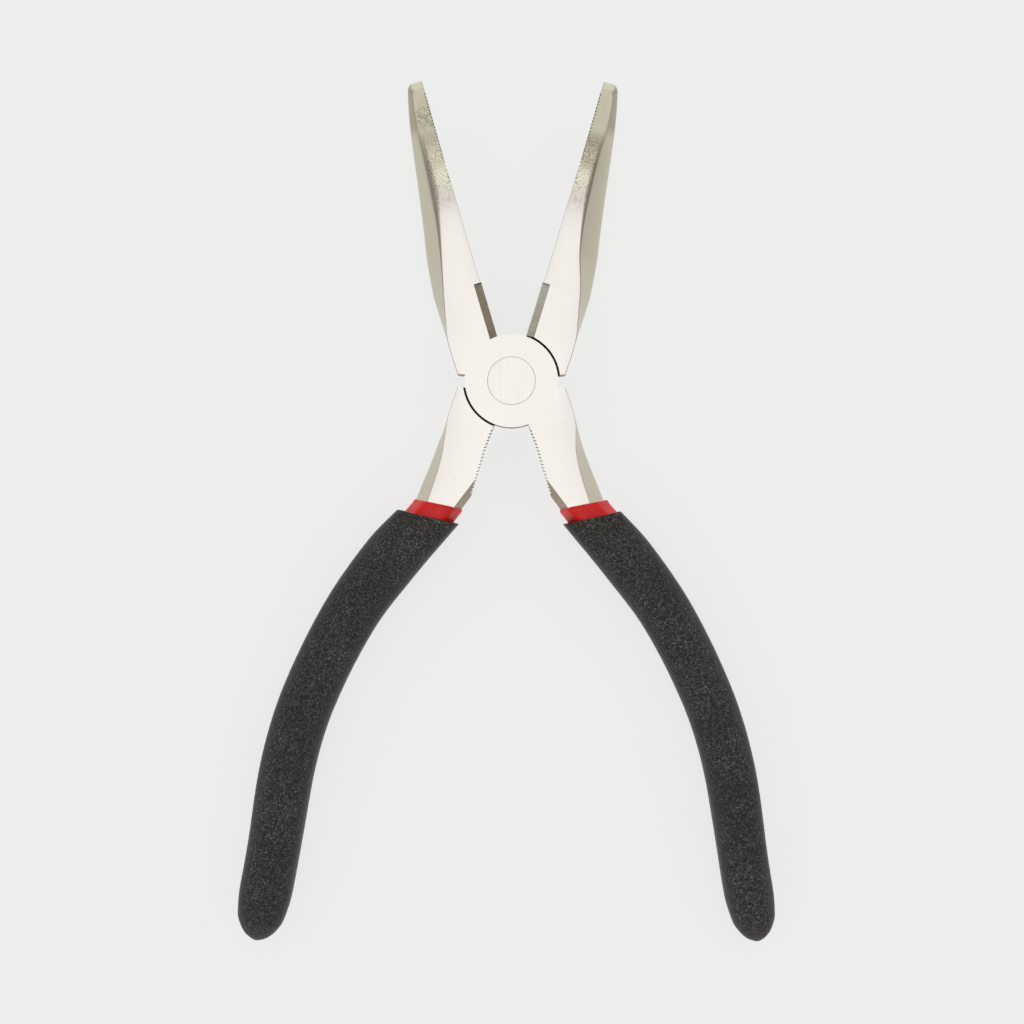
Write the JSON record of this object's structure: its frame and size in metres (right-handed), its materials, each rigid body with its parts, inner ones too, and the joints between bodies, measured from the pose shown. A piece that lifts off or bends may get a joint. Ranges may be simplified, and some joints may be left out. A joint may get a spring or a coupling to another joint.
{
  "type": "needle nose pliers",
  "caption": "Bent needle nose pliers with side cutters, serrated jaws, a pipe grip behind the riveted lap joint and sleeved, foam-textured black handle grips with red inner sleeves.",
  "frame": {"origin": "on the pivot axis, in the flat underside of the head (the rivet's lower face)", "axes": "+Z along the pivot axis, out of the upper flat of the head; +Y from the pivot towards the nose; +X to the right seen from above"},
  "size_m": [0.1194, 0.1901, 0.0175],
  "materials": {
    "nickel_steel": "satin nickel over ground forgings",
    "rivet_steel": "ground flush",
    "red_vinyl": "smooth dipped vinyl",
    "black_vinyl": "fine foam texture"
  },
  "bodies": {
    "rear_half": {"rear_lever": "nickel_steel", "rear_inner_sleeve": "red_vinyl", "rear_outer_grip": "black_vinyl", "pivot_rivet": "rivet_steel"},
    "front_half": {"front_lever": "nickel_steel", "front_inner_sleeve": "red_vinyl", "front_outer_grip": "black_vinyl"}
  },
  "joints": [
    {"name": "pivot", "type": "hinge", "parent": "rear_half", "child": "front_half", "pos_m": [0, 0, 0.005], "axis": [0, 0, 1], "range_deg": [-33.7, 12.5]}
  ]
}
